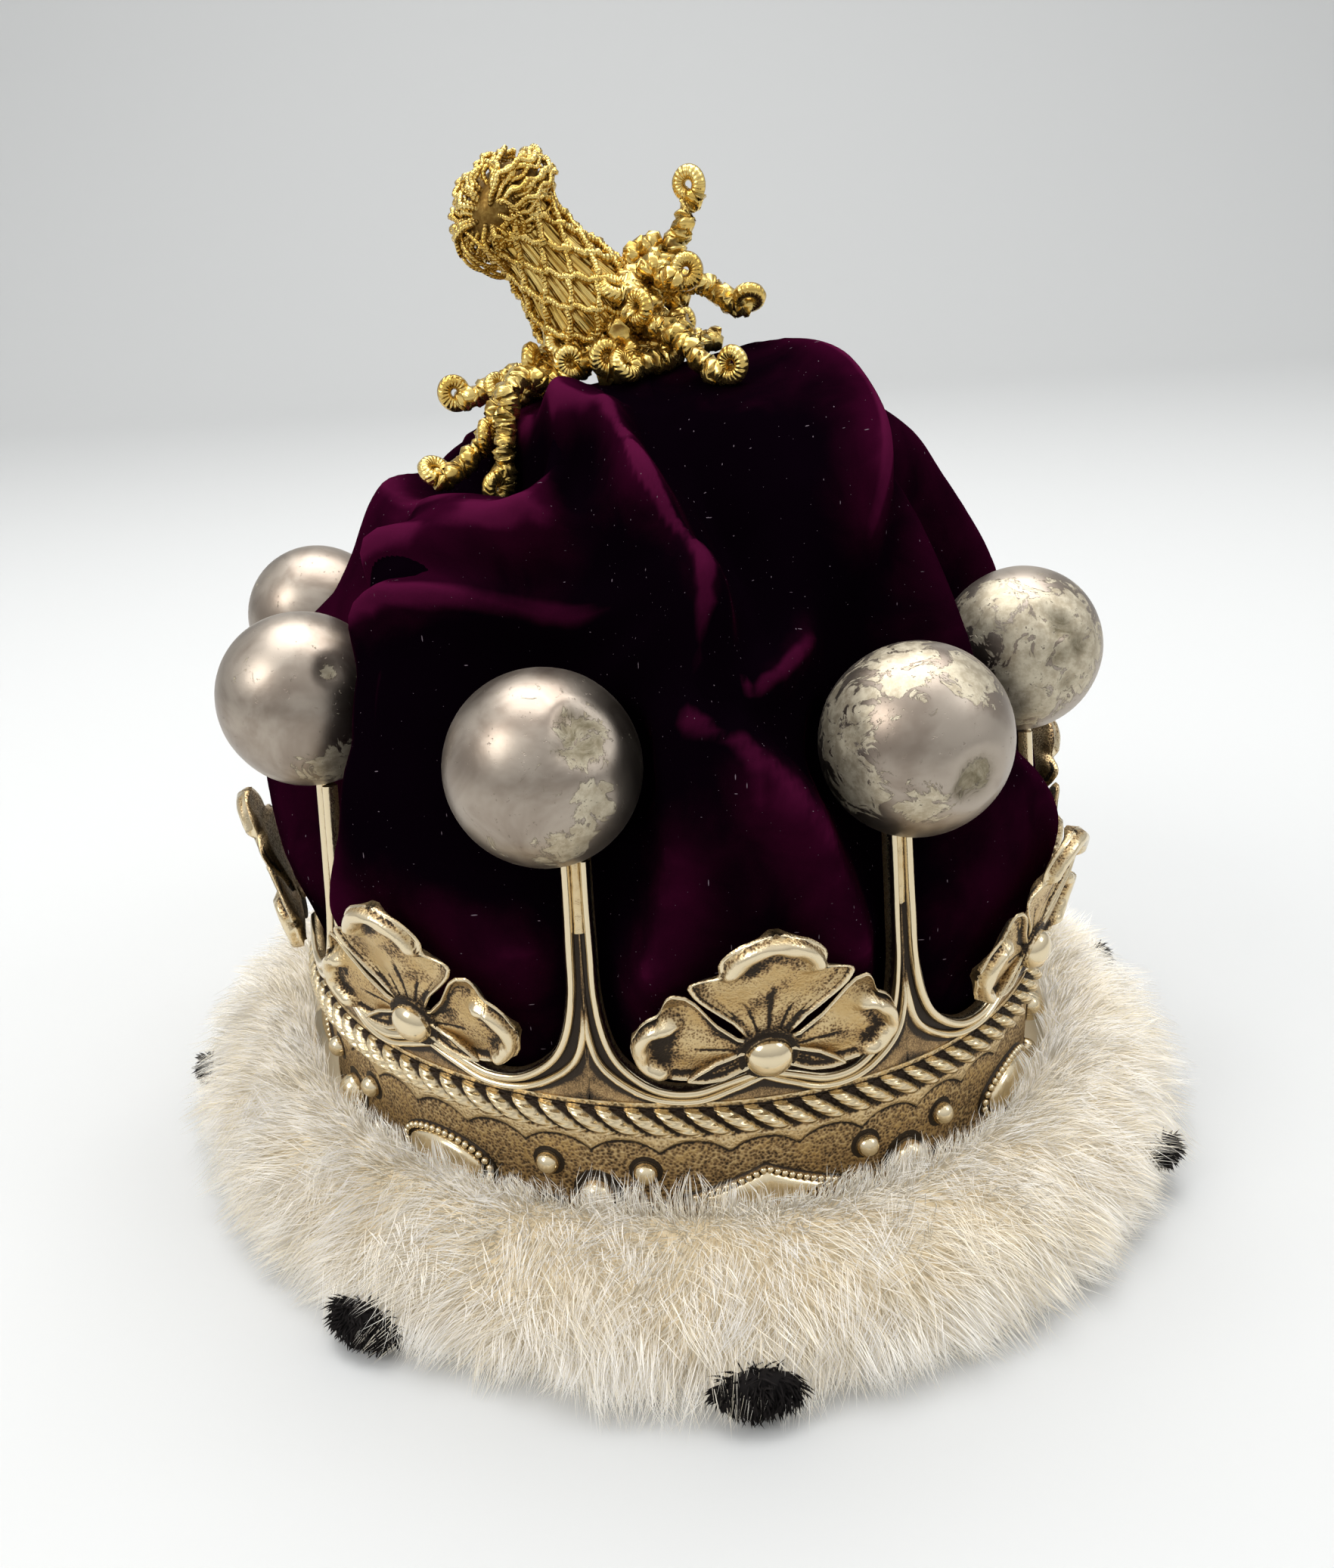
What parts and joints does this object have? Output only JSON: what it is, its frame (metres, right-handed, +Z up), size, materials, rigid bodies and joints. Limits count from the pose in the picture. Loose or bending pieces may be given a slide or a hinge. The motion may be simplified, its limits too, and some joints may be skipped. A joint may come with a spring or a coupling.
{
  "type": "coronet",
  "caption": "Coronet with a chased metal band, leaves and silver balls on rays, a soft velvet cap with a gold tassel, and a band of white fur with dark tails at the foot.",
  "frame": {"origin": "middle of the fur band's foot, on the floor, at the centre of the bounding box in X and Y", "axes": "+Z up towards the tassel, -Y the front that the picture shows, +X to the right as seen from the front"},
  "size_m": [0.2732, 0.2864, 0.2265],
  "materials": {
    "silver_gilt": "chased, antiqued silver-gilt with dark recesses",
    "leaf_gilt": "cast and chased silver-gilt, polished at the rims",
    "silver": "satin tarnished silver, dented and flaked",
    "velvet": "dark crimson velvet pile",
    "fur": "long soft cream-white fur",
    "tail_fur": "black fur",
    "gold_thread": "coiled gold thread"
  },
  "bodies": {
    "root": {"circlet": "silver_gilt", "velvet_cap": "velvet", "fur_band": "fur", "tassel": "gold_thread", "leaf_1": "leaf_gilt", "leaf_2": "leaf_gilt", "leaf_3": "leaf_gilt", "leaf_4": "leaf_gilt", "leaf_5": "leaf_gilt", "leaf_6": "leaf_gilt", "leaf_7": "leaf_gilt", "leaf_8": "leaf_gilt", "ball_1": "silver", "ball_2": "silver", "ball_3": "silver", "ball_4": "silver", "ball_5": "silver", "ball_6": "silver", "ball_7": "silver", "ball_8": "silver", "ermine_tail_1": "tail_fur", "ermine_tail_2": "tail_fur", "ermine_tail_3": "tail_fur", "ermine_tail_4": "tail_fur", "ermine_tail_5": "tail_fur", "ermine_tail_6": "tail_fur", "ermine_tail_7": "tail_fur", "ermine_tail_8": "tail_fur"}
  },
  "joints": []
}
